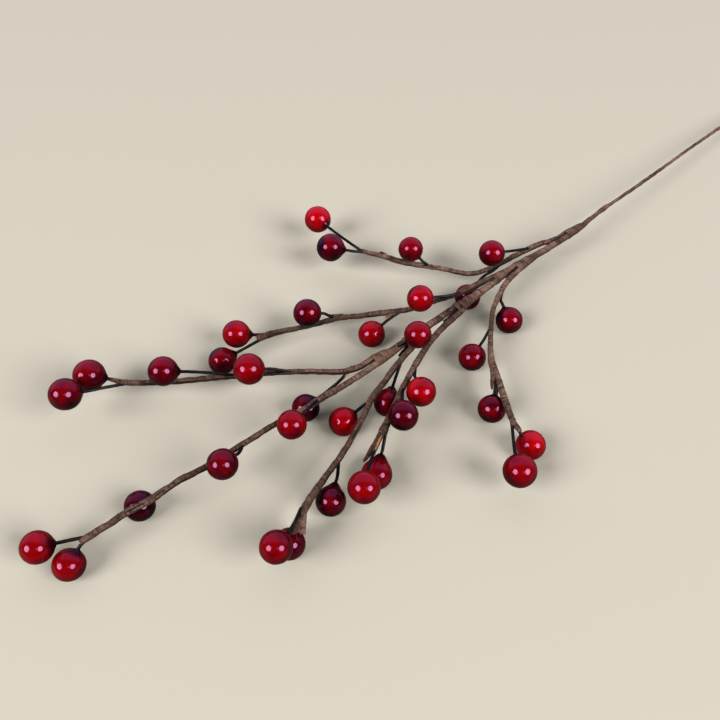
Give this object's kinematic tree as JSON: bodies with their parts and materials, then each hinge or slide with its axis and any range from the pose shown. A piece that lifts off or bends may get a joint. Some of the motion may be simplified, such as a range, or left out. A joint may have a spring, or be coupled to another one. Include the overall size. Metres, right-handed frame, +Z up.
{
  "type": "artificial red berry spray",
  "caption": "Lying artificial berry spray: glossy red lacquered beads on thin dark wires, bound with brown paper tape onto a branching wire stem.",
  "frame": {"origin": "on the table plane, under the centre of the spray's box", "axes": "+X along the main stem from the branched tip towards the cut end of the handle, +Z up from the table"},
  "size_m": [0.3943, 0.1367, 0.0216],
  "materials": {
    "stem_tape": "matte crepe paper tape wound over wire, with thin near-black wires at the beads",
    "lacquer_bright_red": "glossy clear-coated bright red",
    "lacquer_burgundy": "glossy clear-coated dark red"
  },
  "bodies": {
    "root": {"main_stem": "stem_tape", "side_stem_a": "stem_tape", "side_stem_b": "stem_tape", "side_stem_c": "stem_tape", "side_stem_d": "stem_tape", "side_stem_e": "stem_tape", "side_stem_f": "stem_tape", "berry_01": "lacquer_bright_red", "berry_02": "lacquer_burgundy", "berry_03": "lacquer_burgundy", "berry_04": "lacquer_burgundy", "berry_05": "lacquer_burgundy", "berry_06": "lacquer_bright_red", "berry_07": "lacquer_bright_red", "berry_08": "lacquer_bright_red", "berry_09": "lacquer_burgundy", "berry_10": "lacquer_bright_red", "berry_11": "lacquer_burgundy", "berry_12": "lacquer_bright_red", "berry_13": "lacquer_burgundy", "berry_14": "lacquer_burgundy", "berry_15": "lacquer_burgundy", "berry_16": "lacquer_burgundy", "berry_17": "lacquer_bright_red", "berry_18": "lacquer_bright_red", "berry_19": "lacquer_burgundy", "berry_20": "lacquer_burgundy", "berry_21": "lacquer_bright_red", "berry_22": "lacquer_bright_red", "berry_23": "lacquer_bright_red", "berry_24": "lacquer_burgundy", "berry_25": "lacquer_burgundy", "berry_26": "lacquer_bright_red", "berry_27": "lacquer_burgundy", "berry_28": "lacquer_burgundy", "berry_29": "lacquer_burgundy", "berry_30": "lacquer_bright_red", "berry_31": "lacquer_burgundy", "berry_32": "lacquer_burgundy", "berry_33": "lacquer_burgundy", "berry_34": "lacquer_bright_red", "berry_35": "lacquer_bright_red"}
  },
  "joints": []
}
